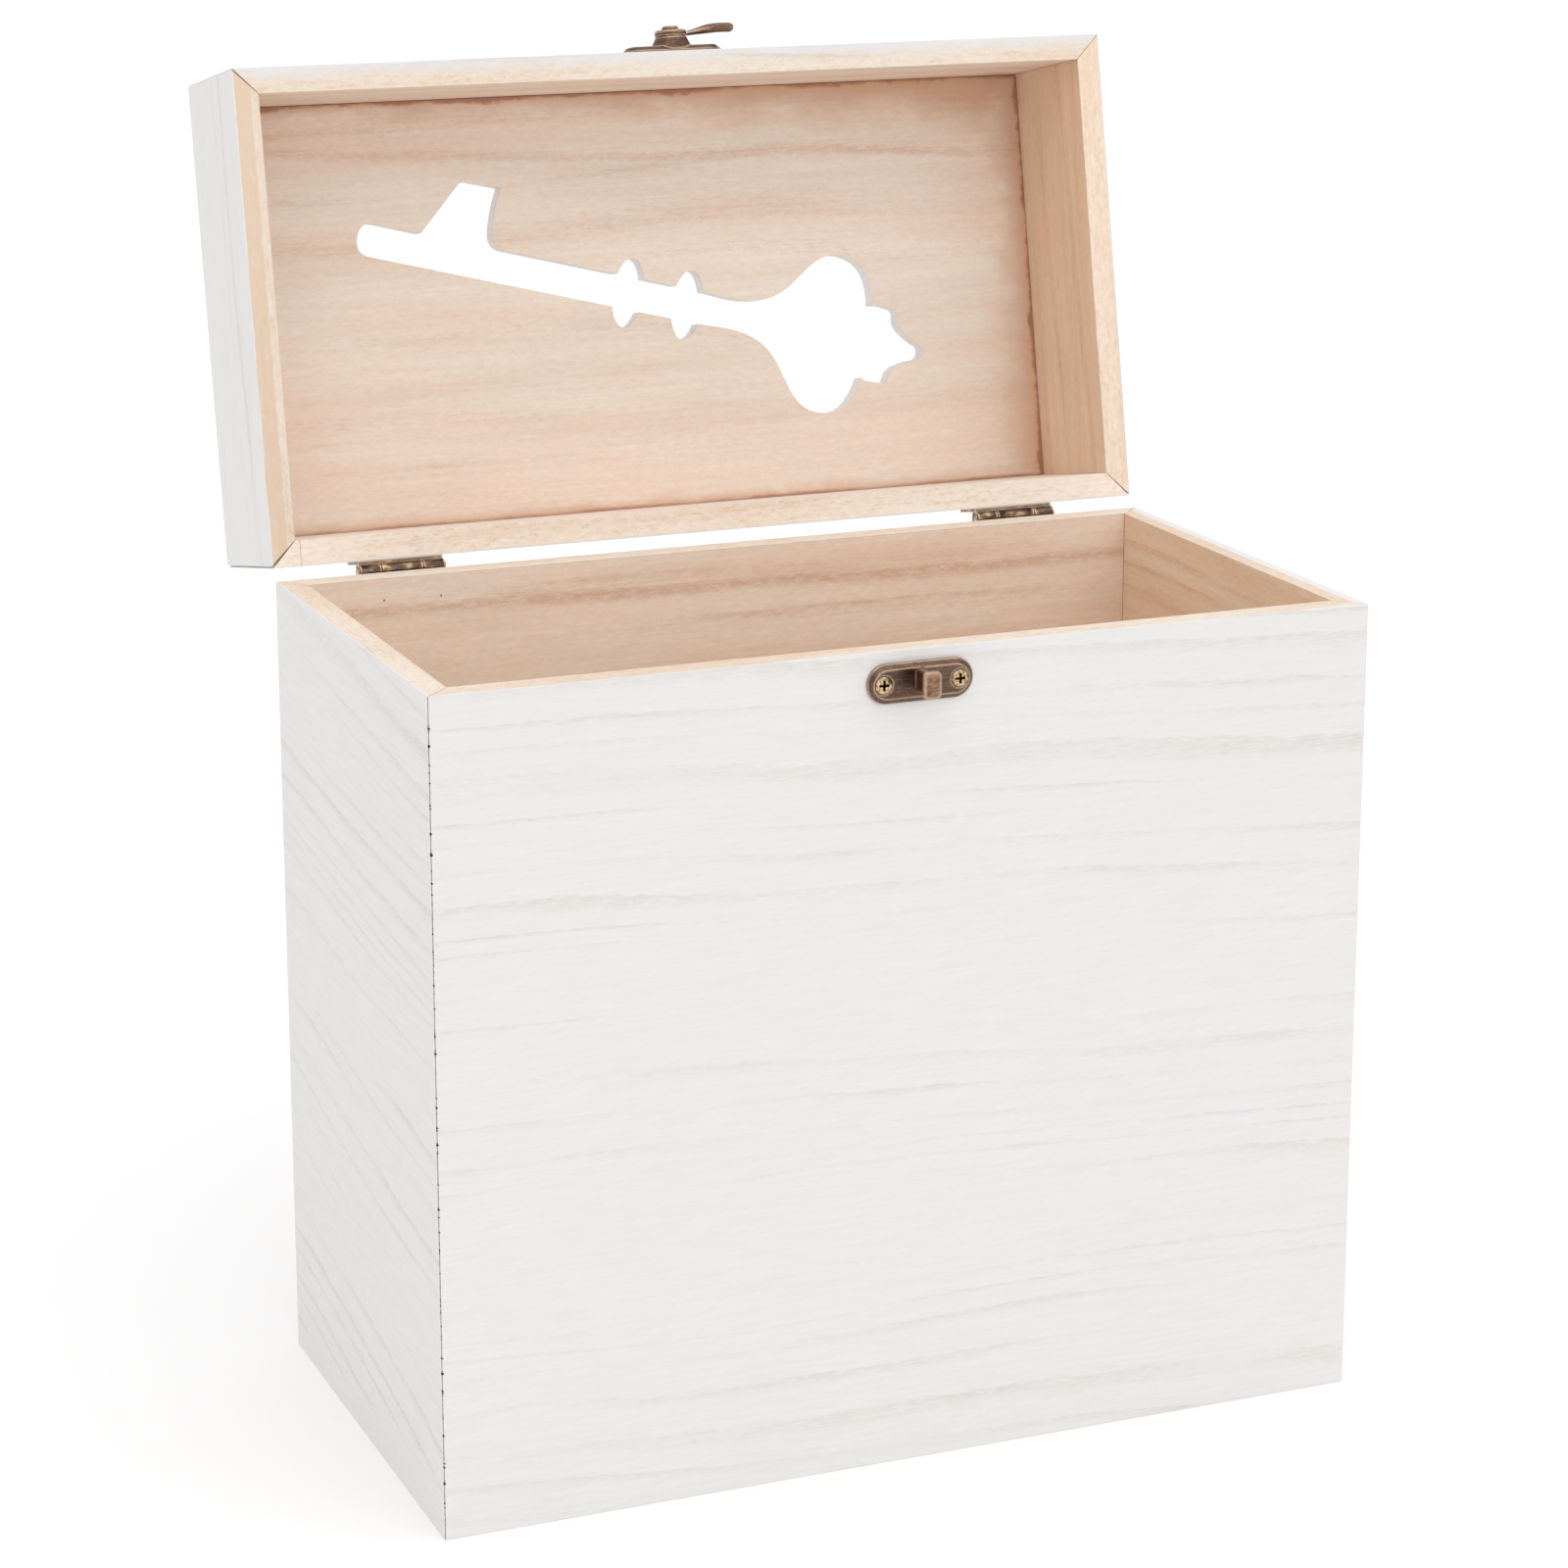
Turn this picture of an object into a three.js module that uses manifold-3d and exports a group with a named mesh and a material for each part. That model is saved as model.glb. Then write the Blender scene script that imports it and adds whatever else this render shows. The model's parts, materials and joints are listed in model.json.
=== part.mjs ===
// Wedding card box: a mitred wooden box with a hinged lid, a key-shaped card slot in
// the lid, two stop hinges at the back and a swinging horn latch at the front.
//
// Millimetres, +Z up, front towards -Y. The origin is the middle of the box's underside.
// Every lid piece is drawn as if the lid were shut, and the lid is then swung open.

import * as THREE from 'three';
import { mergeVertices } from 'three/addons/utils/BufferGeometryUtils.js';
import Module from 'manifold-3d';

const wasm = await Module();
wasm.setup();

// ---------------------------------------------------------------- driving dimensions

const WIDTH = 254;
const DEPTH = 132;
const BODY_HEIGHT = 216;
const LID_HEIGHT = 47;
const WALL = 7;
const LID_PANEL_THICKNESS = 5.5;
const BOTTOM_THICKNESS = 5;

const LID_OPEN_DEG = 101.25; // how far the hinge stops let the lid swing
const RIM_GAP = 0.4; // air between the two rims when the lid is shut
const PANEL_FIT = 0.15; // air round a panel that is let in between boards
const SEAT = 0.05; // air between a fitting and the wood that it is screwed to
const HOLE_FIT = 0.1; // air round a shank in its hole

// Opening of each mitre, at the outer corner and at the inner one, going round from
// the front left corner to the right.
const BODY_MITRES = [
  { outer: 0.22, inner: 0.1 },
  { outer: 0.1, inner: 0.1 },
  { outer: 0.1, inner: 0.1 },
  { outer: 0.1, inner: 0.1 },
];
const LID_MITRES = [
  { outer: 0.4, inner: 0.1 },
  { outer: 0.1, inner: 0.1 },
  { outer: 0.5, inner: 0.1 },
  { outer: 0.75, inner: 0.1 },
];

// The key slot, on its own axis: u along the shank, v towards the bit.
const KEY_TILT_DEG = 14.3;
const KEY_OFFSET = 0.6; // from the middle of the lid towards its front
const KEY = {
  stemEnd: -86.8,
  crownTip: 86.4,
  stem: 4.7,
  endRadius: 4.6,
  bitHeight: 21.8,
  collars: [-6.1, 12],
  collarHalfWidth: 4.7,
  collarHalfHeight: 10,
  bowTop: 56.5,
  bowHalfHeight: 23,
};

// Latch and catch: both plates are stadiums with a bevelled front.
const PLATE = { length: 28.6, width: 10.2, rim: 0.6, thickness: 1.8, bevel: 1.4 };
const PLATE_FROM_RIM = 8.2; // from the rim of its board to the plate's middle
const PLATE_SCREW_SPACING = 20.6;
const PLATE_SCREW = { head: 2.2, shank: 1.1, length: 6.6, dome: 0.35 };

const STUD = {
  x: -0.6,
  rise: 0.9,
  neckWidth: 2,
  neckHeight: 6,
  headWidth: 5,
  headHeight: 7.2,
  headUnder: 8.25,
  headFront: 9.85,
  tenon: 0.8,
};

const BOSS = { baseX: 5.6, baseY: 4.7, top: 4.3, level: 4.3 };
const RIVET = { shank: 1.6, bore: 1.0, head: 2.4, headUnder: 6.4, headTop: 7.4, throat: 2.0 };
const HOOK = {
  eye: 4.4,
  low: 4.45,
  high: 6.25,
  reach: 18.6,
  root: { halfWidth: 1.25, halfHeight: 0.72 },
  tip: { halfWidth: 1.5, halfHeight: 1.38, round: 1.3 },
};

// Hinges: a leaf on the back of the box and one on the back of the lid.
const HINGE_XS = { left: -91.5, right: 89.9 };
const HINGE = {
  width: 23.6,
  leaf: 1,
  leafEnd: 10.6, // from the pin's level to the leaf's free edge
  barrel: 1.6,
  pin: 0.7,
  pinHead: 1.15,
  middleKnuckle: 11.2,
  knuckleGap: 0.3,
  lip: 1, // thickness of the stop lip
  lipGap: 0.4,
};
const HINGE_SCREW_SPACING = 15.8;
const HINGE_SCREW_LEVEL = 6.2;
const HINGE_SCREW = { head: 1.9, shank: 0.9, length: 7.8, dome: 0.25 };
const LONGER_BY = 0.65; // the left hinge's body screws, whose points come through the wood

// The pin's axis: a barrel's radius off the leaf, halfway between the rims.
const PIVOT_Y = DEPTH / 2 + SEAT + HINGE.leaf + HINGE.barrel;
const PIVOT_Z = BODY_HEIGHT + RIM_GAP / 2;

const ROUND = 24; // sides of a turned piece
const HOLE_ROUND = 16; // sides of a drilled hole

// ---------------------------------------------------------------- materials

const paint = (tone = 0xf1f0ec) => new THREE.MeshStandardMaterial({ color: tone, roughness: 0.72 });
const bareWood = () => new THREE.MeshStandardMaterial({ color: 0xe2c5a4, roughness: 0.75 });
const bronze = () => new THREE.MeshStandardMaterial({ color: 0x7c6144, roughness: 0.42, metalness: 1 });
const brass = () => new THREE.MeshStandardMaterial({ color: 0xd9b76a, roughness: 0.28, metalness: 1 });

// ---------------------------------------------------------------- solids

function toSolid(geometry) {
  const plain = geometry.clone();
  plain.deleteAttribute('normal');
  plain.deleteAttribute('uv');
  const merged = mergeVertices(plain, 1e-4);
  return new wasm.Manifold(
    new wasm.Mesh({
      numProp: 3,
      vertProperties: new Float32Array(merged.attributes.position.array),
      triVerts: new Uint32Array(merged.index.array),
    }),
  );
}

function toGeometry(solid) {
  const mesh = solid.getMesh();
  const geometry = new THREE.BufferGeometry();
  geometry.setAttribute('position', new THREE.BufferAttribute(mesh.vertProperties, 3));
  geometry.setIndex(new THREE.BufferAttribute(mesh.triVerts, 1));
  geometry.computeVertexNormals();
  return geometry;
}

const join = (...geometries) =>
  toGeometry(geometries.map(toSolid).reduce((whole, next) => whole.add(next)));

const cut = (body, tools) =>
  toGeometry(tools.map(toSolid).reduce((rest, tool) => rest.subtract(tool), toSolid(body)));

function block(x0, x1, y0, y1, z0, z1) {
  const geometry = new THREE.BoxGeometry(x1 - x0, y1 - y0, z1 - z0);
  return geometry.translate((x0 + x1) / 2, (y0 + y1) / 2, (z0 + z1) / 2);
}

function prism(points, z0, z1) {
  const shape = new THREE.Shape(points.map(([x, y]) => new THREE.Vector2(x, y)));
  const geometry = new THREE.ExtrudeGeometry(shape, { depth: z1 - z0, bevelEnabled: false });
  return geometry.translate(0, 0, z0);
}

// A round bar along Z.
function bar(radius, z0, z1, sides = ROUND) {
  const geometry = new THREE.CylinderGeometry(radius, radius, z1 - z0, sides);
  return geometry.rotateX(Math.PI / 2).translate(0, 0, (z0 + z1) / 2);
}

// A turned piece round Z, from a profile of [radius, z] that starts and ends on the axis.
function turned(profile, sides = ROUND) {
  const points = profile.map(([radius, z]) => new THREE.Vector2(radius, z));
  return new THREE.LatheGeometry(points, sides).rotateX(Math.PI / 2);
}

// A closed skin over rings that hold the same number of points, in order.
function loft(rings) {
  const count = rings[0].length;
  const last = (rings.length - 1) * count;
  const positions = rings.flat().flatMap((point) => [point.x, point.y, point.z]);
  const index = [];
  for (let ring = 0; ring < rings.length - 1; ring += 1) {
    for (let i = 0; i < count; i += 1) {
      const a = ring * count + i;
      const b = ring * count + ((i + 1) % count);
      index.push(a, b, b + count, a, b + count, a + count);
    }
  }
  for (let i = 1; i < count - 1; i += 1) {
    index.push(0, i + 1, i);
    index.push(last, last + i, last + i + 1);
  }
  const geometry = new THREE.BufferGeometry();
  geometry.setAttribute('position', new THREE.Float32BufferAttribute(positions, 3));
  geometry.setIndex(index);
  return geometry;
}

// A ring at height z: a rectangle whose corners are rounded by radius.
function roundedRing(width, height, radius, z, steps = 5) {
  const ring = [];
  const corners = [
    [1, -1],
    [1, 1],
    [-1, 1],
    [-1, -1],
  ];
  corners.forEach(([sx, sy], quarter) => {
    for (let step = 0; step <= steps; step += 1) {
      const angle = (quarter - 1 + step / steps) * (Math.PI / 2);
      const x = sx * (width / 2 - radius) + radius * Math.cos(angle);
      const y = sy * (height / 2 - radius) + radius * Math.sin(angle);
      ring.push(new THREE.Vector3(x, y, z));
    }
  });
  return ring;
}

// ---------------------------------------------------------------- where pieces sit
//
// Fittings are drawn in a face's own frame: x to the right, y up, z out of the wood.

const onFront = (geometry, x, z) =>
  geometry.rotateX(Math.PI / 2).translate(x, -DEPTH / 2 - SEAT, z);

const onBack = (geometry, x, z) =>
  geometry.rotateX(-Math.PI / 2).translate(x, DEPTH / 2 + SEAT, z);

const CATCH_Z = BODY_HEIGHT - PLATE_FROM_RIM;
const LATCH_Z = BODY_HEIGHT + RIM_GAP + PLATE_FROM_RIM;

// ---------------------------------------------------------------- screws

const POINT = 1.8; // a screw point's length, in shank radii

// A countersunk screw with its head's rim at z = 0 and its point towards -Z.
function screw({ head, shank, length, dome }) {
  const countersink = head - shank;
  const point = POINT * shank;
  const body = turned([
    [0, -length],
    [shank, point - length],
    [shank, -countersink],
    [head, -0.15],
    [head, 0],
    [head * 0.6, dome * 0.72],
    [0, dome],
  ]);
  const arm = head * 0.62;
  const halfSlot = head * 0.15;
  const slots = [
    block(-arm, arm, -halfSlot, halfSlot, -head * 0.35, head),
    block(-halfSlot, halfSlot, -arm, arm, -head * 0.35, head),
  ];
  return cut(body, slots);
}

// The hole for that screw: a countersink in the plate and a bore in the wood.
function screwHole({ head, shank, length }) {
  const wider = head + 0.25;
  return turned([
    [0, -length - 0.4],
    [shank + HOLE_FIT, -length - 0.4],
    [shank + HOLE_FIT, -(head - shank) - 0.12],
    [wider, 0],
    [wider, 1],
    [0, 1],
  ]);
}

// The hole that a screw has cut for itself in the wood, pointed as the screw is.
function woodHole({ shank, length }) {
  const wider = shank + HOLE_FIT;
  const end = -length - HOLE_FIT;
  const profile = [
    [0, end],
    [wider, end + POINT * wider],
    [wider, 1],
    [0, 1],
  ];
  return turned(profile, HOLE_ROUND);
}

const plateScrewXs = [-PLATE_SCREW_SPACING / 2, PLATE_SCREW_SPACING / 2];

// How far above the wood a screw's rim sits, on a plate and on a hinge leaf.
const PLATE_SCREW_LIFT = PLATE.thickness - 0.05;
const LEAF_SCREW_LIFT = HINGE.leaf;

// ---------------------------------------------------------------- boards

// A board with mitred ends. Its outer face is y = 0 and its inner face is y = WALL.
function mitredBoard(length, z0, z1, left, right) {
  const back = (opening) => opening / Math.SQRT2;
  return prism(
    [
      [-length / 2 + back(left.outer), 0],
      [length / 2 - back(right.outer), 0],
      [length / 2 - WALL - back(right.inner), WALL],
      [-length / 2 + WALL + back(left.inner), WALL],
    ],
    z0,
    z1,
  );
}

// The four boards of a frame, in the order front, right, back, left.
function mitredFrame(z0, z1, mitres) {
  const half = [DEPTH / 2, WIDTH / 2];
  return [0, 1, 2, 3].map((side) => {
    const length = side % 2 === 0 ? WIDTH : DEPTH;
    const board = mitredBoard(length, z0, z1, mitres[side], mitres[(side + 1) % 4]);
    return board.translate(0, -half[side % 2], 0).rotateZ((side * Math.PI) / 2);
  });
}

const hingeScrewXs = (x) => [x - HINGE_SCREW_SPACING / 2, x + HINGE_SCREW_SPACING / 2];

// The screws through a leaf; only the left hinge has longer ones in the body.
const leafScrewSize = (owner, hand) =>
  owner === 'body' && hand === 'left'
    ? { ...HINGE_SCREW, length: HINGE_SCREW.length + LONGER_BY }
    : HINGE_SCREW;

const frontHoles = (z) =>
  plateScrewXs.map((x) =>
    onFront(woodHole(PLATE_SCREW).translate(0, 0, PLATE_SCREW_LIFT), x, z),
  );

const backHoles = (owner, z) =>
  Object.entries(HINGE_XS).flatMap(([hand, hingeX]) =>
    hingeScrewXs(hingeX).map((x) => {
      const hole = woodHole(leafScrewSize(owner, hand));
      return onBack(hole.translate(0, 0, LEAF_SCREW_LIFT), x, z);
    }),
  );

function bodyBoards() {
  const [front, right, back, left] = mitredFrame(0, BODY_HEIGHT, BODY_MITRES);
  const inside = { x: WIDTH / 2 - WALL - PANEL_FIT, y: DEPTH / 2 - WALL - PANEL_FIT };
  return {
    front_panel: cut(front, frontHoles(CATCH_Z)),
    back_panel: cut(back, backHoles('body', PIVOT_Z - HINGE_SCREW_LEVEL)),
    left_panel: left,
    right_panel: right,
    bottom_panel: block(-inside.x, inside.x, -inside.y, inside.y, 0, BOTTOM_THICKNESS),
  };
}

function lidRails() {
  const low = BODY_HEIGHT + RIM_GAP;
  const [front, right, back, left] = mitredFrame(low, low + LID_HEIGHT, LID_MITRES);
  return {
    lid_front_rail: cut(front, frontHoles(LATCH_Z)),
    lid_back_rail: cut(back, backHoles('lid', PIVOT_Z + HINGE_SCREW_LEVEL)),
    lid_left_rail: left,
    lid_right_rail: right,
  };
}

// ---------------------------------------------------------------- key slot

// One side of the key, from the end of the stem to the tip of the crown.
function keySide(withBit) {
  const side = new THREE.Path();
  side.moveTo(KEY.stemEnd, 0);
  side.lineTo(KEY.stemEnd, KEY.stem - KEY.endRadius);
  side.quadraticCurveTo(KEY.stemEnd, KEY.stem, KEY.stemEnd + KEY.endRadius, KEY.stem);
  if (withBit) {
    side.lineTo(-69, KEY.stem);
    side.lineTo(-60.9, KEY.bitHeight - 2);
    side.quadraticCurveTo(-59.7, KEY.bitHeight - 0.2, -57.8, KEY.bitHeight - 0.2);
    side.lineTo(-48.3, KEY.bitHeight);
    side.quadraticCurveTo(-49.4, 13.5, -48.5, 8.4);
    side.quadraticCurveTo(-48, 5.2, -44.8, KEY.stem);
  }
  const foot = Math.asin(KEY.stem / KEY.collarHalfHeight);
  for (const u of KEY.collars) {
    const { collarHalfWidth: a, collarHalfHeight: b } = KEY;
    side.lineTo(u - a * Math.cos(foot), KEY.stem);
    side.absellipse(u, 0, a, b, Math.PI - foot, foot, true);
  }
  side.lineTo(25, 4.3);
  side.bezierCurveTo(34, 4.3, 38.7, 7, 43, 12.6);
  side.bezierCurveTo(47, 17.8, 49.6, KEY.bowHalfHeight, KEY.bowTop, KEY.bowHalfHeight);
  side.bezierCurveTo(64.6, KEY.bowHalfHeight, 67.2, 17.4, 68.6, 10.5);
  side.quadraticCurveTo(69.4, 11.3, 71, 11.2);
  side.lineTo(74.9, 11);
  side.quadraticCurveTo(76.6, 10.8, 76.9, 9);
  side.quadraticCurveTo(77.2, 6.6, 78.8, 5.3);
  side.quadraticCurveTo(81.4, 3.4, 84.8, 2.2);
  side.quadraticCurveTo(KEY.crownTip, 1.6, KEY.crownTip, 0);
  return side.getPoints(8);
}

function keyOutline() {
  const upper = keySide(true);
  const lower = keySide(false)
    .map((point) => new THREE.Vector2(point.x, -point.y))
    .reverse();
  const tilt = THREE.MathUtils.degToRad(-KEY_TILT_DEG);
  const middle = new THREE.Vector2(0, 0);
  return [...upper, ...lower.slice(1, -1)].map((point) =>
    point.rotateAround(middle, tilt).add(new THREE.Vector2(0, KEY_OFFSET)),
  );
}

// The lid's panel, drawn as seen from inside the lid with its front edge up.
function lidPanel() {
  const x = WIDTH / 2 - WALL - PANEL_FIT;
  const y = DEPTH / 2 - WALL - PANEL_FIT;
  const shape = new THREE.Shape();
  shape.moveTo(-x, -y).lineTo(x, -y).lineTo(x, y).lineTo(-x, y).closePath();
  shape.holes.push(new THREE.Path(keyOutline()));
  const depth = LID_PANEL_THICKNESS;
  const geometry = new THREE.ExtrudeGeometry(shape, { depth, bevelEnabled: false });
  return geometry.rotateX(Math.PI).translate(0, 0, BODY_HEIGHT + RIM_GAP + LID_HEIGHT);
}

// ---------------------------------------------------------------- latch and catch

function bevelledPlate() {
  const { length, width, rim, thickness, bevel } = PLATE;
  const steps = 8;
  return loft([
    roundedRing(length, width, width / 2, 0, steps),
    roundedRing(length, width, width / 2, rim, steps),
    roundedRing(length - 2 * bevel, width - 2 * bevel, width / 2 - bevel, thickness, steps),
  ]);
}

const plateHoles = () =>
  plateScrewXs.map((x) => screwHole(PLATE_SCREW).translate(x, 0, PLATE_SCREW_LIFT));

const plateScrew = (x, z) => onFront(screw(PLATE_SCREW).translate(0, 0, PLATE_SCREW_LIFT), x, z);

function catchPlate() {
  const tenonHole = bar(STUD.tenon + HOLE_FIT, -1, PLATE.thickness + 1, HOLE_ROUND);
  return cut(bevelledPlate(), [...plateHoles(), tenonHole.translate(STUD.x, STUD.rise, 0)]);
}

// The catch's stud: a flat neck riveted into the plate, under a wider cushion-shaped head.
function catchStud() {
  const { neckWidth, neckHeight, headWidth, headHeight, headUnder, headFront } = STUD;
  const seat = PLATE.thickness + SEAT;
  const crown = 0.55;
  const neck = loft([
    roundedRing(neckWidth + 0.8, neckHeight + 0.6, 1.3, seat),
    roundedRing(neckWidth, neckHeight, 0.9, seat + 0.9),
    roundedRing(neckWidth, neckHeight, 0.9, headUnder + 0.3),
  ]);
  const head = loft([
    roundedRing(headWidth - 0.5, headHeight - 0.5, 1.3, headUnder),
    roundedRing(headWidth, headHeight, 1.5, headUnder + 0.3),
    roundedRing(headWidth, headHeight, 1.5, headFront - crown),
    roundedRing(headWidth - 0.5, headHeight - 0.5, 1.4, headFront - 0.15),
    roundedRing(headWidth - 1.3, headHeight - 1.3, 1.2, headFront),
  ]);
  const tenon = bar(STUD.tenon, SEAT, seat + 0.5, HOLE_ROUND);
  return join(neck, head, tenon).translate(STUD.x, STUD.rise, 0);
}

// The latch plate carries a raised boss that the hook turns on.
function latchPlate() {
  const steps = 8;
  const boss = loft([
    roundedRing(2 * BOSS.baseX, 2 * BOSS.baseY, BOSS.baseY, 0.3, steps),
    roundedRing(2 * BOSS.baseX, 2 * BOSS.baseY, BOSS.baseY, PLATE.thickness, steps),
    roundedRing(2 * BOSS.top, 2 * BOSS.top, BOSS.top - 1e-3, BOSS.level, steps),
  ]);
  const bore = bar(RIVET.shank + HOLE_FIT, -1, BOSS.level + 1);
  return cut(join(bevelledPlate(), boss), [...plateHoles(), bore]);
}

// A hollow rivet: a shank through the boss and the hook's eye, with a rolled head.
function latchRivet() {
  const { shank, bore, head, headUnder, headTop, throat } = RIVET;
  return turned([
    [0, SEAT],
    [shank, SEAT],
    [shank, headUnder - 0.05],
    [head - 0.25, headUnder],
    [head, headUnder + 0.35],
    [head - 0.3, headTop - 0.1],
    [head - 0.8, headTop],
    [bore + 0.2, headTop - 0.25],
    [bore, headTop - throat],
    [0, headTop - throat],
  ]);
}

// The swinging hook: a flat eye, and a horn that rises off the plate, thickens and
// rounds over at its tip.
function latchHook() {
  const { eye, low, high, root, tip, reach } = HOOK;
  const middle = (low + high) / 2;
  const spine = new THREE.CubicBezierCurve3(
    new THREE.Vector3(2.9, 0, middle - 0.1),
    new THREE.Vector3(8, 0, middle),
    new THREE.Vector3(10, 0.3, 7),
    new THREE.Vector3(reach - tip.round, -0.2, 6.55),
  );
  const steps = 14;
  const rings = Array.from({ length: steps + 1 }, (_, step) => {
    const t = step / steps;
    const grow = THREE.MathUtils.smoothstep(t, 0.1, 0.75);
    const halfWidth = THREE.MathUtils.lerp(root.halfWidth, tip.halfWidth, grow);
    const halfHeight = THREE.MathUtils.lerp(root.halfHeight, tip.halfHeight, grow);
    return hornRing(spine.getPoint(t), spine.getTangent(t), halfWidth, halfHeight);
  });
  const along = spine.getTangent(1);
  for (const share of [0.25, 0.6, 0.85]) {
    const angle = (share * Math.PI) / 2;
    const centre = spine.getPoint(1).addScaledVector(along, tip.round * Math.sin(angle));
    const shrink = Math.cos(angle);
    rings.push(hornRing(centre, along, tip.halfWidth * shrink, tip.halfHeight * shrink));
  }
  const disc = turned([
    [0, low],
    [eye - 0.2, low],
    [eye, low + 0.3],
    [eye, high - 0.4],
    [eye - 0.4, high],
    [0, high],
  ]);
  const bore = bar(RIVET.shank + HOLE_FIT, low - 1, high + 3);
  return cut(join(disc, loft(rings)), [bore]);
}

// A ring of the horn's section, square to along, round above and a little flatter below.
function hornRing(centre, along, halfWidth, halfHeight) {
  const sides = 12;
  const across = new THREE.Vector3(0, 1, 0);
  const out = new THREE.Vector3().crossVectors(along, across).normalize();
  return Array.from({ length: sides }, (_, i) => {
    const angle = (i / sides) * 2 * Math.PI;
    const lift = Math.sin(angle);
    return centre
      .clone()
      .addScaledVector(across, halfWidth * Math.cos(angle))
      .addScaledVector(out, halfHeight * lift * (lift > 0 ? 0.9 : 1));
  });
}

// ---------------------------------------------------------------- hinges
//
// Hinges are drawn from their section: y backwards from the pin, z up from the pin.

// A section extruded along X between x0 and x1, and put on the pin's axis.
function alongPin(points, x0, x1) {
  const geometry = prism(points, x0, x1);
  geometry.applyMatrix4(new THREE.Matrix4().set(0, 0, 1, 0, 1, 0, 0, 0, 0, 1, 0, 0, 0, 0, 0, 1));
  return geometry.translate(0, PIVOT_Y, PIVOT_Z);
}

const pinBar = (radius, x0, x1, sides) =>
  bar(radius, x0, x1, sides).rotateY(Math.PI / 2).translate(0, PIVOT_Y, PIVOT_Z);

// A rectangle of the section, as its four corners.
const rect = (y0, y1, z0, z1) => [
  [y0, z0],
  [y1, z0],
  [y1, z1],
  [y0, z1],
];

const LEAF_BACK = -HINGE.leaf - HINGE.barrel; // the leaf's face on the wood
const LEAF_FRONT = -HINGE.barrel;

// The stretches of the barrel that belong to the body's leaf and to the lid's leaf.
function knuckles(owner) {
  const half = HINGE.width / 2;
  const middle = HINGE.middleKnuckle / 2;
  const outer = middle + HINGE.knuckleGap;
  return owner === 'lid' ? [[-middle, middle]] : [[-half, -outer], [outer, half]];
}

// A leaf with its knuckles; up is 1 for the lid's leaf and -1 for the body's.
function hingeLeaf(owner, x) {
  const up = owner === 'lid' ? 1 : -1;
  const half = HINGE.width / 2;
  const span = (from, to) => [Math.min(up * from, up * to), Math.max(up * from, up * to)];
  const pieces = [
    alongPin(rect(LEAF_BACK, LEAF_FRONT, ...span(0.4, HINGE.leafEnd)), x - half, x + half),
  ];
  for (const [x0, x1] of knuckles(owner)) {
    pieces.push(pinBar(HINGE.barrel, x + x0, x + x1));
    const web = rect(LEAF_BACK, 0, ...span(0.6, HINGE.barrel));
    pieces.push(alongPin(web, x + x0, x + x1));
  }
  if (owner === 'body') pieces.push(alongPin(stopLip(), x - half, x + half));
  const bore = pinBar(HINGE.pin + HOLE_FIT, x - half - 1, x + half + 1, HOLE_ROUND);
  const screwZ = PIVOT_Z + up * HINGE_SCREW_LEVEL;
  const holes = hingeScrewXs(x).map((screwX) =>
    onBack(screwHole(HINGE_SCREW).translate(0, 0, LEAF_SCREW_LIFT), screwX, screwZ),
  );
  return cut(join(...pieces), [bore, ...holes]);
}

// The stop: a lip that runs back under the barrel and turns up behind it, where the
// lid's leaf lies down on it when the lid is open.
function stopLip() {
  const inner = HINGE.barrel + HINGE.lipGap;
  const outer = inner + HINGE.lip;
  const open = THREE.MathUtils.degToRad(LID_OPEN_DEG);
  const clearance = 0.12; // between the lid's leaf at rest and the lip
  const overlap = 0.2; // how far the lip runs into its own leaf
  // Height of the open lid leaf's face at a distance y behind the pin.
  const face = (y) =>
    HINGE.barrel / Math.sin(open) + (y * Math.cos(open)) / Math.sin(open) - clearance;
  return [
    [LEAF_FRONT - overlap, -outer],
    [outer, -outer],
    [outer, face(outer)],
    [inner, face(inner)],
    [inner, -inner],
    [LEAF_FRONT - overlap, -inner],
  ];
}

// A hinge pin with both of its ends peened over into low round heads.
function hingePin(x) {
  const { pin: shank, pinHead: head } = HINGE;
  const half = HINGE.width / 2 + HOLE_FIT;
  const end = [
    [shank, half - 0.02],
    [head, half],
    [head * 0.7, half + 0.4],
    [0, half + 0.5],
  ];
  const start = end.map(([radius, z]) => [radius, -z]).reverse();
  const pin = turned([...start, ...end], HOLE_ROUND);
  return pin.rotateY(Math.PI / 2).translate(x, PIVOT_Y, PIVOT_Z);
}

const leafScrew = (size, x, z) => onBack(screw(size).translate(0, 0, LEAF_SCREW_LIFT), x, z);

// ---------------------------------------------------------------- assembly

const box = new THREE.Group();
const lid = new THREE.Group();
const lidPivot = new THREE.Group();

function add(group, name, geometry, material) {
  const mesh = new THREE.Mesh(geometry, material);
  mesh.name = name;
  group.add(mesh);
}

for (const [name, geometry] of Object.entries(bodyBoards())) {
  add(box, name, geometry, name === 'bottom_panel' ? bareWood() : paint());
}
for (const [name, geometry] of Object.entries(lidRails())) {
  add(lid, name, geometry, paint(0xefece6));
}
add(lid, 'lid_panel', lidPanel(), bareWood());

add(box, 'catch_plate', onFront(catchPlate(), 0, CATCH_Z), bronze());
add(box, 'catch_stud', onFront(catchStud(), 0, CATCH_Z), bronze());
add(lid, 'latch_plate', onFront(latchPlate(), 0, LATCH_Z), bronze());
add(lid, 'latch_rivet', onFront(latchRivet(), 0, LATCH_Z), bronze());
add(lid, 'latch_hook', onFront(latchHook(), 0, LATCH_Z), bronze());
plateScrewXs.forEach((x, i) => {
  const side = ['left', 'right'][i];
  add(box, `catch_screw_${side}`, plateScrew(x, CATCH_Z), brass());
  add(lid, `latch_screw_${side}`, plateScrew(x, LATCH_Z), brass());
});

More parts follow.
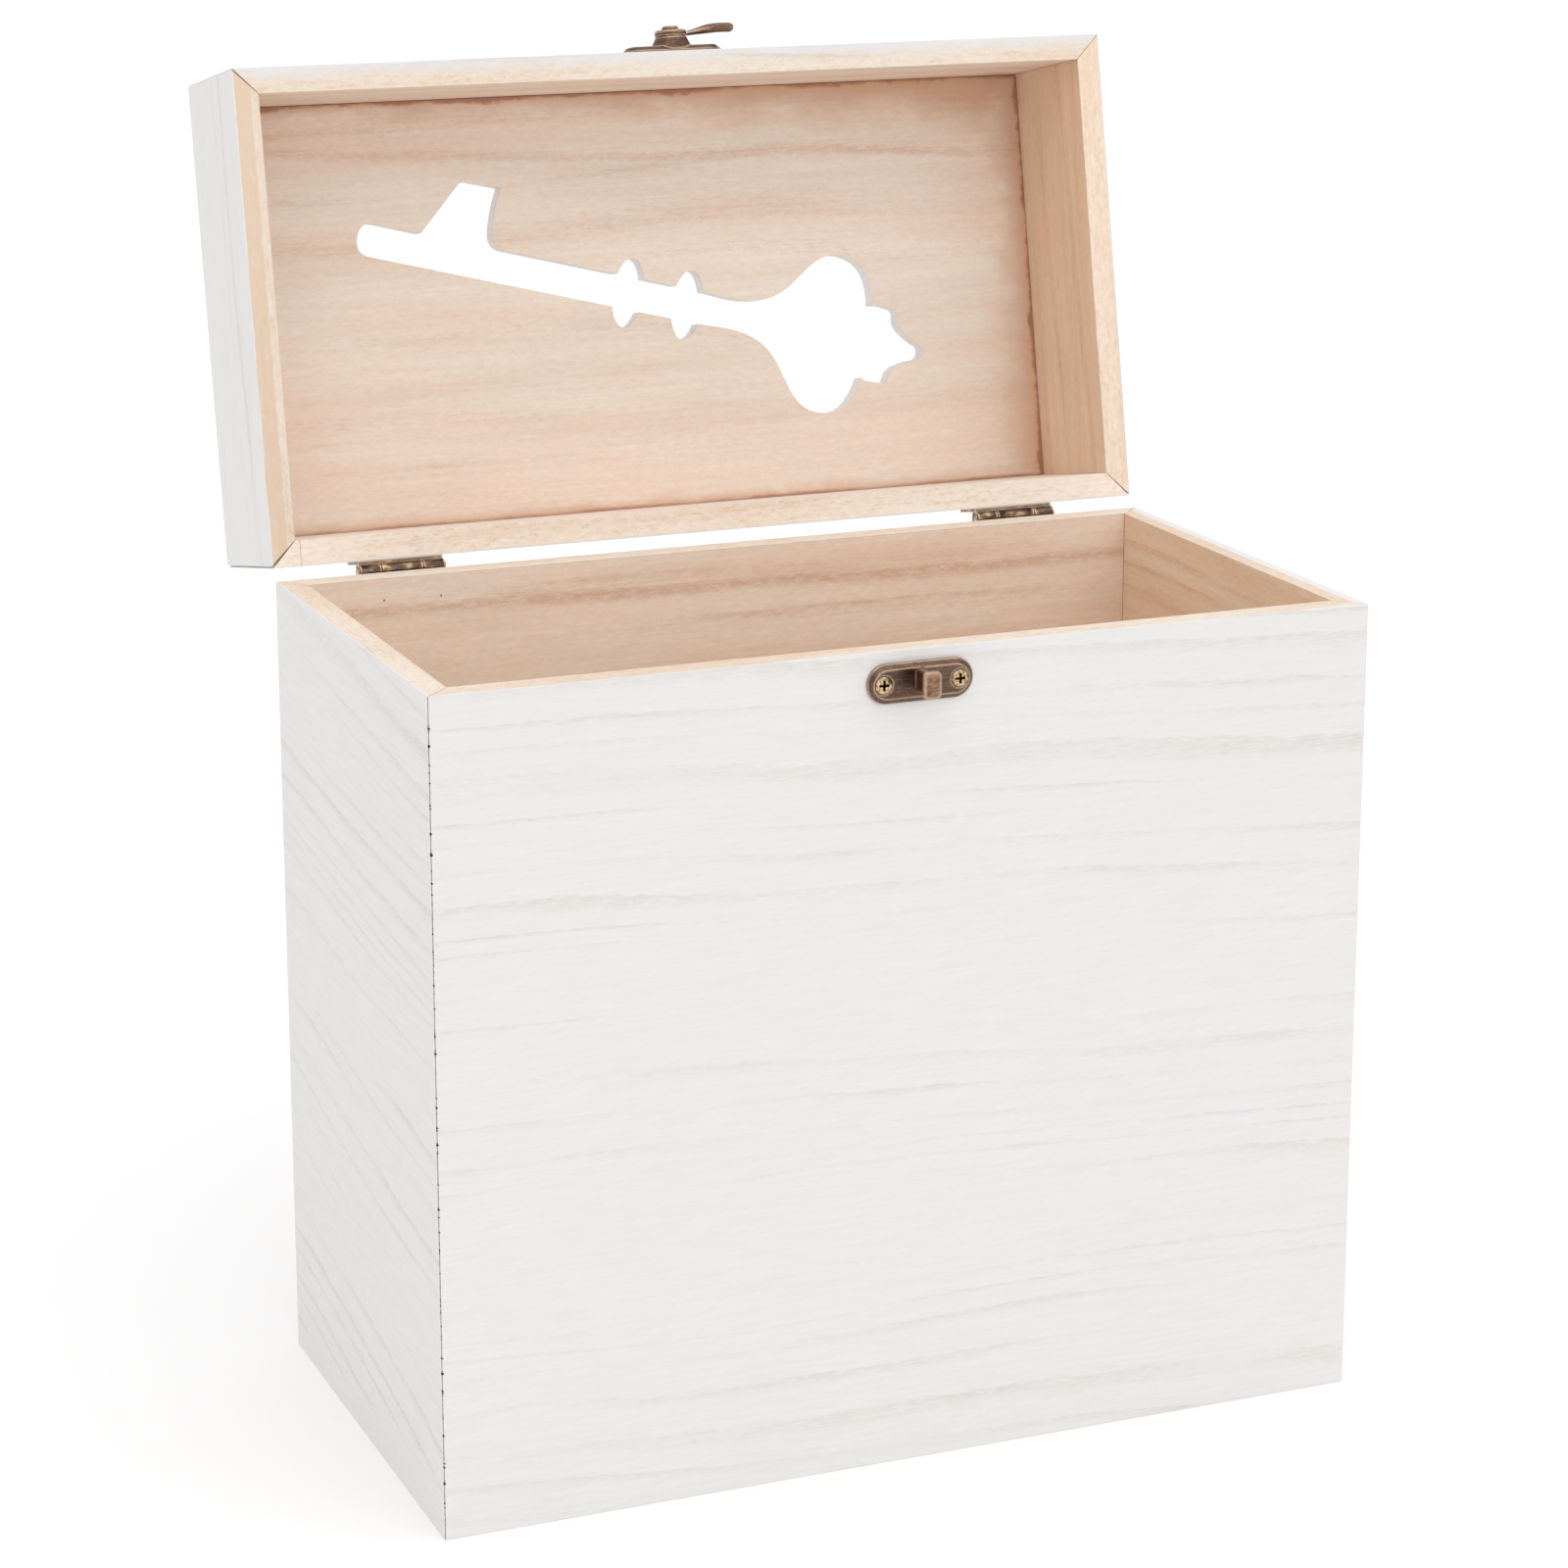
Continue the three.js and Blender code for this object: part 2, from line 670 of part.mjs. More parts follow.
for (const [hand, x] of Object.entries(HINGE_XS)) {
  add(box, `hinge_${hand}_body_leaf`, hingeLeaf('body', x), bronze());
  add(box, `hinge_${hand}_pin`, hingePin(x), bronze());
  add(lid, `hinge_${hand}_lid_leaf`, hingeLeaf('lid', x), bronze());
  hingeScrewXs(x).forEach((screwX, i) => {
    const bodyScrew = leafScrew(leafScrewSize('body', hand), screwX, PIVOT_Z - HINGE_SCREW_LEVEL);
    const lidScrew = leafScrew(leafScrewSize('lid', hand), screwX, PIVOT_Z + HINGE_SCREW_LEVEL);
    add(box, `hinge_${hand}_body_screw_${i + 1}`, bodyScrew, bronze());
    add(lid, `hinge_${hand}_lid_screw_${i + 1}`, lidScrew, bronze());
  });
}

lid.position.set(0, -PIVOT_Y, -PIVOT_Z);
lidPivot.add(lid);
lidPivot.position.set(0, PIVOT_Y, PIVOT_Z);
lidPivot.rotation.x = -THREE.MathUtils.degToRad(LID_OPEN_DEG);
box.add(lidPivot);

export default box;
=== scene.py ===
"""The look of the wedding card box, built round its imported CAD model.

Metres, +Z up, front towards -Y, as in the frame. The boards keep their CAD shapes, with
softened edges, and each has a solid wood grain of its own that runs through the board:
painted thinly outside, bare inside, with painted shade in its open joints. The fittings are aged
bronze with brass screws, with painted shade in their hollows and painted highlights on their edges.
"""

import json
import math

import bpy
from mathutils import Matrix, Vector


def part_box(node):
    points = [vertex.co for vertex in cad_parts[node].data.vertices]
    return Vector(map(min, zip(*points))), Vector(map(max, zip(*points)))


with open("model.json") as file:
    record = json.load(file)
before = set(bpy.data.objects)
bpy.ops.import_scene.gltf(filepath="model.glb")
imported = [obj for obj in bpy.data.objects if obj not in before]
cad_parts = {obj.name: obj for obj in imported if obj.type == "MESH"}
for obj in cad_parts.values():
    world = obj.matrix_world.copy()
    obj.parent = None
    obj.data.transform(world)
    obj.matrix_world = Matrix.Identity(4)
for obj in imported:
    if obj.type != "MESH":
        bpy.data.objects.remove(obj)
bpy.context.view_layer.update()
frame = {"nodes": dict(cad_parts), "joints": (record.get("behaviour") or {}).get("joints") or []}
NODES = frame["nodes"]
JOINTS = {joint["name"]: joint for joint in frame["joints"]}

MM = 0.001
X, Y, Z = Vector((1, 0, 0)), Vector((0, 1, 0)), Vector((0, 0, 1))

# ---------------------------------------------------------------- frame measures

LEFT, FRONT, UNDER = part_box("left_panel")[0].x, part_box("front_panel")[0].y, 0.0
RIGHT, BACK = -LEFT, -FRONT
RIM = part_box("front_panel")[1].z
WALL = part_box("front_panel")[1].y - FRONT

PIVOT = Vector(JOINTS["lid_hinge"]["pos_m"])
LID_OPEN = math.radians(JOINTS["lid_hinge"]["range_deg"][1])
LID_TURN = Matrix.Rotation(-LID_OPEN, 3, "X")


def opened(point):
    """Where a point of the shut lid is when the lid stands open, as it does at rest."""
    return PIVOT + LID_TURN @ (Vector(point) - PIVOT)


def shut(point):
    """Where a point of the open lid is when the lid is shut."""
    return PIVOT + LID_TURN.inverted() @ (Vector(point) - PIVOT)


def shut_heights(name):
    """The lowest and highest points of one of the lid's pieces when the lid is shut."""
    heights = [shut(vertex.co).z for vertex in NODES[name].data.vertices]
    return min(heights), max(heights)


LID_LOW = shut_heights("lid_front_rail")[0]
PANEL_LOW, LID_TOP = shut_heights("lid_panel")

# ---------------------------------------------------------------- node graphs


class Graph:
    """Short calls that build one material's nodes. A value may be a number or a socket."""

    def __init__(self, name):
        self.material = bpy.data.materials.new(name)
        self.material.use_nodes = True
        self.tree = self.material.node_tree
        self.shader = self.tree.nodes["Principled BSDF"]

    def put(self, socket, value):
        """Links an input to a socket, or sets it to a number."""
        if isinstance(value, bpy.types.NodeSocket):
            self.tree.links.new(value, socket)
        else:
            socket.default_value = value

    def node(self, kind, inputs=(), **settings):
        """Adds a node, with its inputs by name or number and its settings."""
        made = self.tree.nodes.new(kind)
        for key, value in settings.items():
            setattr(made, key, value)
        for key, value in dict(inputs).items():
            self.put(made.inputs[key], value)
        return made

    def math(self, operation, a, b=0.0, c=0.0, clamp=False):
        inputs = {0: a, 1: b, 2: c}
        made = self.node("ShaderNodeMath", inputs, operation=operation, use_clamp=clamp)
        return made.outputs[0]

    def times(self, *values):
        """The product of the values."""
        product = values[0]
        for value in values[1:]:
            product = self.math("MULTIPLY", product, value)
        return product

    def weighted(self, base, *terms):
        """base plus each (value, weight) term's value times its weight."""
        for value, weight in terms:
            base = self.math("MULTIPLY_ADD", value, weight, base)
        return base

    def vector(self, operation, a, b):
        made = self.node("ShaderNodeVectorMath", {0: a, 1: b}, operation=operation)
        return made.outputs["Value" if operation == "DOT_PRODUCT" else "Vector"]

    def join(self, x, y, z):
        return self.node("ShaderNodeCombineXYZ", {0: x, 1: y, 2: z}).outputs[0]

    def object_point(self):
        return self.node("ShaderNodeTexCoord").outputs["Object"]

    def millimetres(self):
        """The shaded point in millimetres."""
        return self.vector("MULTIPLY", self.object_point(), Vector((1 / MM,) * 3))

    def noise(self, vector, detail=2.0, roughness=0.5):
        made = self.node(
            "ShaderNodeTexNoise",
            {"Vector": vector, "Scale": 1.0, "Detail": detail, "Roughness": roughness},
        )
        return made.outputs["Fac"]

    def pattern(self, kind, point, seed, length=None):
        """Noise of one of the PATTERNS, or as long as length, in the seed's own part of space."""
        sizes, shift, detail, roughness = PATTERNS[kind]
        if length:
            sizes = (length, *sizes[1:])
        place = seed + shift
        scaled = self.vector("MULTIPLY", point, Vector([1 / size for size in sizes]))
        moved = self.vector("ADD", scaled, Vector((place, 1.7 * place, -2.3 * place)))
        return self.noise(moved, detail, roughness)

    def ramp(self, factor, stops):
        """A smooth run of values through stops of (position, value)."""
        made = self.node("ShaderNodeFloatCurve", {"Factor": 1.0, "Value": factor})
        curve = made.mapping.curves[0]
        points = curve.points
        while len(points) < len(stops):
            points.new(0.5, 0.5)
        for point, (position, value) in zip(points, stops):
            point.location = (position, value)
            point.handle_type = "VECTOR"
        made.mapping.update()
        return made.outputs[0]

    def step(self, value, low, high):
        """0 below low and 1 above high, smooth between."""
        made = self.node(
            "ShaderNodeMapRange",
            {"Value": value, "From Min": low, "From Max": high},
            interpolation_type="SMOOTHSTEP",
        )
        return made.outputs["Result"]

    def mix(self, factor, a, b, blend="MIX"):
        made = self.node("ShaderNodeMix", data_type="RGBA", blend_type=blend, clamp_factor=True)
        self.put(made.inputs[0], factor)
        for socket, value in ((made.inputs[6], a), (made.inputs[7], b)):
            if isinstance(value, (tuple, list)):
                value = (*value[:3], 1.0)
            self.put(socket, value)
        return made.outputs[2]

    def bump(self, height, distance):
        made = self.node(
            "ShaderNodeBump", {"Height": height, "Distance": distance, "Strength": 1.0}
        )
        return made.outputs["Normal"]

    def finish(self, color, roughness, normal=None, metallic=0.0):
        """Sets the shader's inputs and gives the material."""
        self.put(self.shader.inputs["Base Color"], color)
        self.put(self.shader.inputs["Roughness"], roughness)
        self.shader.inputs["Metallic"].default_value = metallic
        if normal is not None:
            self.put(self.shader.inputs["Normal"], normal)
        return self.material


def dress(node, material):
    """Gives a piece that one material."""
    node.data.materials.clear()
    node.data.materials.append(material)


# ---------------------------------------------------------------- patterns

# Each pattern is the size of its grains in millimetres, what is added to the seed, and the
# noise's detail and roughness. A board's sizes are along it, across it and inward.
PATTERNS = {
    # The log and its rings: its slow bends, waves along the rings, their ragged edges, and
    # where they are dark.
    "drift": ((230, 80, 80), 0, 1.5, 0.5),
    "wander": ((80, 16, 16), 5, 2.5, 0.6),
    "fray": ((9, 1.2, 1.2), 9, 3.0, 0.65),
    "strength": ((80, 22, 22), 13, 2.0, 0.5),
    # Bare wood: stripes of tan, its fibres, its mottle, ashen patches, and its pores.
    "bands": ((170, 13, 13), 3, 2.5, 0.55),
    "fibre": ((26, 0.9, 0.9), 2, 4.0, 0.62),
    "mottle": ((3.2, 1.3, 1.3), 17, 4.0, 0.82),
    "hue": ((70, 20, 20), 19, 3.0, 0.6),
    "flecks": ((3.6, 0.3, 0.3), 4, 2.0, 0.7),
    # Paint: cooler clouds, where the rings show through, thin streaks, breaks in the lines,
    # and the ragged edge of the coat.
    "cloud": ((60, 30, 30), 6, 3.0, 0.6),
    "patches": ((64, 14, 14), 7, 3.0, 0.6),
    "streaks": ((13, 1.1, 1.1), 8, 4.0, 0.78),
    "breaks": ((3.5, 0.5, 0.5), 15, 3.0, 0.75),
    "ragged": ((7, 3, 3), 10, 3.0, 0.6),
    # The broad streak's bends, the glue stain's reach, and the glue line's width.
    "sway": ((60, 30, 30), 21, 3.0, 0.5),
    "blot": ((22, 14, 3), 11, 5.0, 0.68),
    "glue": ((26, 16, 3), 12, 6.0, 0.72),
    # Metal: brush marks along X, red blotches, grime, golden and black stretches (uneven plating, and
    # painted highlight and painted shade on the hinges), tarnish.
    "brushed": ((5, 0.2, 0.2), 0, 3.0, 0.7),
    "blotch": ((2.6, 1.6, 1.6), 3, 4.0, 0.65),
    "grime": ((0.7, 0.7, 0.7), 7, 4.0, 0.75),
    "plating": ((5.5, 2.5, 2.5), 12, 2.0, 0.5),
    "tarnish": ((0.6, 0.6, 0.6), 0, 4.0, 0.7),
}

# ---------------------------------------------------------------- wood

PAINT = (0.778, 0.778, 0.762)
PAINT_COOL = (0.778, 0.766, 0.772)
PAINT_THIN = (0.62, 0.575, 0.515)
WOOD_PALE = (0.91, 0.805, 0.705)
WOOD_TAN = (0.785, 0.575, 0.445)
RIM_PALE = (0.93, 0.84, 0.735)
RIM_TAN = (0.83, 0.65, 0.49)
RIM_FLECK = (0.62, 0.42, 0.25)
WOOD_DARK = (0.46, 0.25, 0.15)
WOOD_ASHEN = (0.955, 1.0, 1.02)
STAIN = (0.62, 0.35, 0.205)
JOINT_LINE = (0.42, 0.18, 0.1)
# Painted shade for the open gaps between mitred ends.
GAP_SHADE = (0.035, 0.024, 0.02)

# How far each pattern pushes the rings outward, in millimetres.
DRIFT, UNEVEN, WANDER, FRAY = 26.0, 22.0, 3.6, 1.5
# How dark a year's growth is, from its start to its end.
YEAR = [(0, 0.25), (0.3, 0.0), (0.6, 0.1), (0.86, 0.75), (0.95, 1.0), (1, 0.25)]
# How deep the rim's own colour and the paint on the lid's top go, in millimetres: the depth
# where each starts to fade, and the depth where it has ended.
RIM_DEPTH = (0.15, 0.35)
TOP_PAINT_DEPTH = (0.3, 0.6)

# How high the wood's grain stands, and how round the boards' edges are.
RELIEF = 0.05 * MM
BOARD_EDGE = 0.18 * MM

# The end of a board whose joint has no gap.
SHUT = (0.0, 0.0, 0.0)

# Where glue has stained the lid panel: how far the halo reaches and how wide the dark line is
# beside each rail, in millimetres. The front's halo widens by HALO_GROWS to the right.
HALO_REACH = {"left": 5.0, "right": 20.0, "back": 6.0, "front": 9.0}
HALO_GROWS = 18.0
GLUE_WIDTH = {"left": 0.6, "right": 1.6, "back": 0.8, "front": 1.5}


class Board:
    """One board: where its outer face is, which way its grain runs, and its piece of tree.

    corner is on the outer face; along, across and inward are its own axes. Its wood is
    cut from a log whose pith runs nearly along the board, at pith = (across, inward) in
    millimetres, and leans by lean millimetres for each millimetre of length. Its other
    options, with lengths in millimetres:

    ring      how thick a year's growth is
    seed      its own place in every pattern
    run       how long its stretches of dark ring are
    levels    the levels of the strength pattern between which a ring turns dark
    tone      a tint on its bare wood
    tan       how tan its bare wood is
    lines     how strongly the rings darken its bare wood
    shows     how strongly the rings show through its paint
    overrun   how far the paint goes round its outer edges
    smear     how softly the paint ends
    rim_tone  how light its rim is
    rim_band  (low, high): its rim is tan from outside to low, and no longer from high on
    gaps      the open joints at its start and end, as open_joint says
    streak    its one broad darker ring, as streak_mask says
    seam      where along it an end piece is joined on
    stained_edges  whether glue has stained it beside the rails
    """

    def __init__(self, node, corner, along, across, inward, length, width, **wood):
        lid = node.startswith("lid")
        turn = LID_TURN if lid else Matrix.Identity(3)
        self.node = node
        self.corner = opened(corner) if lid else Vector(corner)
        self.axes = [turn @ axis for axis in (along, across, inward)]
        self.length, self.width = length / MM, width / MM
        self.pith = wood.get("pith", (-60, 90))
        self.lean = wood.get("lean", (0.03, 0.06))
        self.ring = wood.get("ring", 6.0)
        self.seed = wood.get("seed", 1.0)
        self.tone = wood.get("tone", (1.0, 1.0, 1.0))
        self.tan = wood.get("tan", 0.35)
        self.overrun = wood.get("overrun", 0.4)
        self.smear = wood.get("smear", 0.12)
        self.rim_tone = wood.get("rim_tone", 1.0 if lid else 0.86)
        self.rim_band = wood.get("rim_band")
        self.shows = wood.get("shows", 0.6)
        self.run = wood.get("run", 80)
        self.levels = wood.get("levels", (0.36, 0.66))
        self.gaps = wood.get("gaps", (SHUT, SHUT))
        self.seam = wood.get("seam")
        self.streak = wood.get("streak")
        self.lines = wood.get("lines", 0.5)
        self.stained_edges = wood.get("stained_edges", False)


def board_point(g, board):
    """The shaded point in millimetres along, across and into the board."""
    from_corner = g.vector("SUBTRACT", g.object_point(), board.corner)
    parts = [g.vector("DOT_PRODUCT", from_corner, axis / MM) for axis in board.axes]
    return g.join(*parts), parts


def growth_rings(g, board, point, parts):
    """How dark the yearly rings are at a point, from 0 to 1."""
    along, across, inward = parts
    drift, wander, fray = [g.pattern(kind, point, board.seed) for kind in ("drift", "wander", "fray")]
    from_pith = [g.math("SUBTRACT", place, pith) for place, pith in zip((across, inward), board.pith)]
    from_across = g.weighted(from_pith[0], (along, -board.lean[0]), (drift, DRIFT))
    from_inward = g.weighted(from_pith[1], (along, -board.lean[1]))
    squares = [g.times(value, value) for value in (from_across, from_inward)]
    radius = g.math("SQRT", g.math("ADD", *squares))
    uneven = g.noise(g.join(g.times(radius, 1 / 19.0), board.seed * 3.1, 0.0), detail=1.0)
    radius = g.weighted(radius, (uneven, UNEVEN), (wander, WANDER), (fray, FRAY))
    year = g.math("FRACT", g.math("DIVIDE", radius, board.ring))
    strength = g.pattern("strength", point, board.seed, board.run)
    return g.times(g.ramp(year, YEAR), g.step(strength, *board.levels))


def rim_mask(g, board, parts):
    """1 on the narrow face that shows when the lid is open."""
    if board.node in ("bottom_panel", "lid_panel"):
        return None
    full, end = RIM_DEPTH
    if board.node.startswith("lid"):
        return g.step(parts[1], end, full)
    return g.step(parts[1], board.width - end, board.width - full)


def rim_wood(g, board, parts, tan, mottle, fibre):
    """The rim's colour: tan in its mottle and its band, with small brown flecks."""
    pale, deep = [[value * board.rim_tone for value in color] for color in (RIM_PALE, RIM_TAN)]
    tan = g.weighted(g.math("SUBTRACT", tan, 0.72), (mottle, 1.44))
    if board.rim_band:
        low, high = board.rim_band
        tan = g.weighted(tan, (g.step(parts[2], high, low), 0.75))
    fleck = g.times(g.step(mottle, 0.52, 0.7), g.step(fibre, 0.42, 0.6), 0.35)
    return g.mix(fleck, g.mix(tan, pale, deep), RIM_FLECK)


def wood(g, board):
    """Bare wood: its colour, its ring and pore darkness, and the patterns of its relief."""
    point, parts = board_point(g, board)
    rings = growth_rings(g, board, point, parts)
    bands, fibre, mottle, hue, flecks = [
        g.pattern(kind, point, board.seed) for kind in ("bands", "fibre", "mottle", "hue", "flecks")
    ]
    pores = g.times(g.step(flecks, 0.58, 0.74), g.weighted(0.24, (rings, 0.8)))
    tan = g.weighted(
        board.tan - 1.6, (bands, 1.5), (mottle, 1.1), (fibre, 0.6), (rings, 0.8 * board.lines)
    )
    pale, deep, dark = [
        [color[i] * board.tone[i] for i in range(3)] for color in (WOOD_PALE, WOOD_TAN, WOOD_DARK)
    ]
    color = g.mix(tan, pale, deep)
    color = g.mix(g.step(hue, 0.3, 0.7), color, WOOD_ASHEN, "MULTIPLY")
    broken = g.step(g.weighted(fibre, (mottle, 0.6)), 0.7, 1.0)
    color = g.mix(g.times(rings, broken, 0.45 * board.lines), color, dark)
    rim = rim_mask(g, board, parts)
    if rim is not None:
        color = g.mix(rim, color, rim_wood(g, board, parts, tan, mottle, fibre))
    color = g.mix(g.times(pores, 0.5), color, dark)
    return {"point": point, "parts": parts, "rings": rings, "fibre": fibre, "pores": pores,
            "mottle": mottle, "color": color}


def paint(g, board, grain):
    """Thin white paint: the wood's lines show through it faintly."""
    point, seed = grain["point"], board.seed
    cloud, streaks, breaks = [g.pattern(kind, point, seed) for kind in ("cloud", "streaks", "breaks")]
    patches = g.pattern("patches", point, seed, 0.8 * board.run)
    coat = g.mix(g.step(cloud, 0.35, 0.7), PAINT, PAINT_COOL)
    lines = g.times(
        g.step(grain["rings"], 0.2, 0.85), g.step(patches, 0.28, 0.62), g.step(breaks, 0.3, 0.58)
    )
    thin = g.weighted(-0.28, (streaks, 0.7), (lines, board.shows), (grain["pores"], 0.2))
    return g.mix(thin, coat, PAINT_THIN)


def paint_mask(g, board, grain):
    """1 where the board is painted: its outer face, a little way round, and the lid's top."""
    ragged = g.pattern("ragged", grain["point"], board.seed)
    wave = 0.9 + board.smear
    edge = g.weighted(board.overrun - wave / 2, (ragged, wave))
    mask = g.step(g.math("SUBTRACT", edge, grain["parts"][2]), -board.smear, board.smear)
    if board.node.startswith("lid") and board.node.endswith("rail"):
        full, end = TOP_PAINT_DEPTH
        top = g.step(grain["parts"][1], board.width - end, board.width - full)
        mask = g.math("MAXIMUM", mask, top)
    return mask


def open_joint(g, board, grain):
    """1 in the open gaps between mitred ends, which are painted near black as the shade in them.

    Each end's gap is (share, width, seed): the share of its length that is open, how wide in
    millimetres it is on this board at the outer corner, and the seed that the two boards
    of a corner share. It closes up inward.
    """
    along, across, inward = grain["parts"]
    dashes_per_mm = 0.42
    closed_at = 5.5
    soft = 0.07
    far = g.math("GREATER_THAN", along, board.length / 2)
    into_end = g.math("MINIMUM", along, g.math("SUBTRACT", board.length, along))
    past = g.math("SUBTRACT", inward, into_end)
    near, end = board.gaps
    seed = g.weighted(near[2], (far, end[2] - near[2]))
    places = g.join(g.times(across, dashes_per_mm), g.times(inward, dashes_per_mm), seed)
    dashes = g.noise(places, detail=4.0, roughness=0.8)
    levels = [0.5 - 0.45 * (share - 0.5) if share < 1 else -1.0 for share in (near[0], end[0])]
    level = g.weighted(levels[0], (far, levels[1] - levels[0]))
    width = g.weighted(near[1], (far, end[1] - near[1]))
    taper = g.math("MULTIPLY_ADD", inward, -1 / closed_at, 1.0, clamp=True)
    is_open = g.step(g.math("SUBTRACT", dashes, level), -0.02, 0.05)
    return g.step(g.math("ADD", past, g.times(width, taper, is_open)), 0.0, soft)


def streak_mask(g, board, grain):
    """1 along the one broad darker ring: (level, slope, half width, strength) in millimetres.

    The level is down from the rim on a wall, and back from the front edge on the lid panel.
    """
    along, across, _ = grain["parts"]
    level, slope, half, strength = board.streak
    sway, fray = 7.0, 3.0
    down = across if board.node == "lid_panel" else g.math("SUBTRACT", board.width, across)
    bend = g.pattern("sway", grain["point"], board.seed)
    middle = g.weighted(level + (fray - sway) / 2, (along, slope), (bend, sway))
    off = g.weighted(g.math("SUBTRACT", down, middle), (grain["fibre"], fray))
    inside = g.step(g.math("ABSOLUTE", off), half, 0.1 * half)
    return g.times(inside, g.step(grain["mottle"], 0.2, 0.6), strength)


def end_seam(g, board, grain):
    """The short joint where a rail's end was pieced out."""
    along, across, _ = grain["parts"]
    off = g.math("ABSOLUTE", g.math("SUBTRACT", along, board.seam))
    return g.times(g.step(off, 0.22, 0.05), g.step(across, 3.0, 0.4))


def stained_edge(g, board, grain):
    """The dark line and the brown halo where the panel is glued in between the rails."""
    along, across, _ = grain["parts"]
    wall = WALL / MM
    sides = {
        "left": g.math("SUBTRACT", along, wall),
        "right": g.math("SUBTRACT", board.length - wall, along),
        "front": g.math("SUBTRACT", across, wall),
        "back": g.math("SUBTRACT", board.width - wall, across),
    }
    blot, glue = [g.pattern(kind, grain["point"], board.seed) for kind in ("blot", "glue")]
    rightward = g.step(along, 90.0, 245.0)
    halo, line = 0.0, 0.0
    for side, into in sides.items():
        reach = HALO_REACH[side]
        if side == "front":
            reach = g.weighted(reach, (rightward, HALO_GROWS))
        reach = g.times(g.weighted(-0.25, (blot, 2.0)), reach)
        halo = g.math("MAXIMUM", halo, g.math("SUBTRACT", 1.0, g.math("DIVIDE", into, reach)))
        width = g.times(g.weighted(-1.5, (glue, 4.4)), GLUE_WIDTH[side])
        line = g.math("MAXIMUM", line, g.step(g.math("SUBTRACT", width, into), -0.5, 0.7))
    halo = g.math("POWER", g.math("MAXIMUM", halo, 0.0), 1.6, clamp=True)
    return line, halo


def board_material(board):
    """The board's one material: bare wood, stains, paint, then the open joints."""
    g = Graph(board.node + "_wood")
    grain = wood(g, board)
    bare = grain["color"]
    if board.streak:
        bare = g.mix(streak_mask(g, board, grain), bare, STAIN)
    if board.stained_edges:
        line, halo = stained_edge(g, board, grain)
        bare = g.mix(g.times(halo, 0.9), bare, STAIN)
        bare = g.mix(g.times(line, 0.9), bare, JOINT_LINE)
    mask = paint_mask(g, board, grain)
    color = g.mix(mask, bare, paint(g, board, grain))
    if board.seam:
        color = g.mix(g.times(end_seam(g, board, grain), 0.5), color, WOOD_DARK)
    if board.gaps != (SHUT, SHUT):
        # The open joints are painted near black as the shade in the gaps.
        color = g.mix(open_joint(g, board, grain), color, GAP_SHADE)
    rough = g.weighted(0.68, (grain["fibre"], 0.12), (mask, -0.12))
    heights = {"fibre": 0.8, "rings": -0.5, "mottle": 0.5, "pores": -0.8}
    relief = g.weighted(0.0, *[(grain[kind], height) for kind, height in heights.items()])
    return g.finish(color, rough, g.bump(relief, RELIEF))


def boards():
    """The walls, the bottom, and the lid's rails and panel as they lie when the lid is shut."""
    width, depth = RIGHT - LEFT, BACK - FRONT
    low, top = LID_LOW, LID_TOP
    height = top - low
    panel_depth = (top - PANEL_LOW) / MM
    return [
        Board("front_panel", (LEFT, FRONT, UNDER), X, Z, Y, width, RIM, pith=(-70, 70),
              lean=(-0.03, 0.05), ring=7.5, seed=1.0, run=240, levels=(0.3, 0.54), shows=0.42,
              gaps=((0.38, 0.6, 1.0), SHUT)),
        Board("back_panel", (LEFT, BACK, UNDER), X, Z, -Y, width, RIM, pith=(-60, 60),
              lean=(0.02, 0.05), ring=13.0, seed=2.0, tone=(1.085, 1.045, 1.0),
              gaps=((0.3, 0.2, 3.0), (0.5, 0.25, 4.0)), streak=(8.5, 0.011, 2.6, 0.5)),
        Board("left_panel", (LEFT, FRONT, UNDER), Y, Z, X, depth, RIM, pith=(-90, 120),
              lean=(0.0, -0.22), ring=6.5, seed=3.0, run=260, levels=(0.3, 0.54), shows=0.5,
              gaps=((0.38, 0.6, 1.0), (0.3, 0.2, 3.0))),
        Board("right_panel", (RIGHT, FRONT, UNDER), Y, Z, -X, depth, RIM, pith=(-40, 60),
              lean=(0.05, 0.1), ring=8.0, seed=4.0, overrun=3.0, tan=0.6, lines=0.7,
              tone=(1.09, 1.03, 0.92), gaps=(SHUT, (0.5, 0.25, 4.0))),
        Board("bottom_panel", (LEFT, FRONT, UNDER), X, Y, Z, width, depth, pith=(-50, 60),
              ring=8.0, seed=5.0, overrun=-5.0),
        Board("lid_front_rail", (LEFT, FRONT, low), X, Z, Y, width, height, seed=6.0,
              ring=7.0, overrun=2.6, smear=2.2, rim_tone=0.9,
              gaps=((0.85, 0.2, 5.0), (0.4, 0.12, 6.0))),
        Board("lid_back_rail", (LEFT, BACK, low), X, Z, -Y, width, height, seed=7.0,
              ring=7.0, tan=0.2, seam=8.2, gaps=((1.0, 0.45, 7.0), (0.65, 0.4, 8.0))),
        Board("lid_left_rail", (LEFT, FRONT, low), Y, Z, X, depth, height, seed=8.0,
              ring=7.0, overrun=0.5, rim_tone=0.9, rim_band=(4.3, 5.2),
              gaps=((0.85, 0.2, 5.0), (1.0, 0.35, 7.0))),
        Board("lid_right_rail", (RIGHT, FRONT, low), Y, Z, -X, depth, height, seed=9.0,
              ring=8.0, tan=0.6, tone=(0.99, 0.915, 0.81),
              gaps=((0.4, 0.12, 6.0), (0.65, 0.4, 8.0))),
        Board("lid_panel", (LEFT, FRONT, top), X, Y, -Z, width, depth, pith=(-90, 55),
              lean=(0.05, 0.08), ring=13.0, seed=10.0, lines=0.25, stained_edges=True,
              streak=(19.0, 0.045, 2.2, 0.28), overrun=panel_depth - 0.35),
    ]


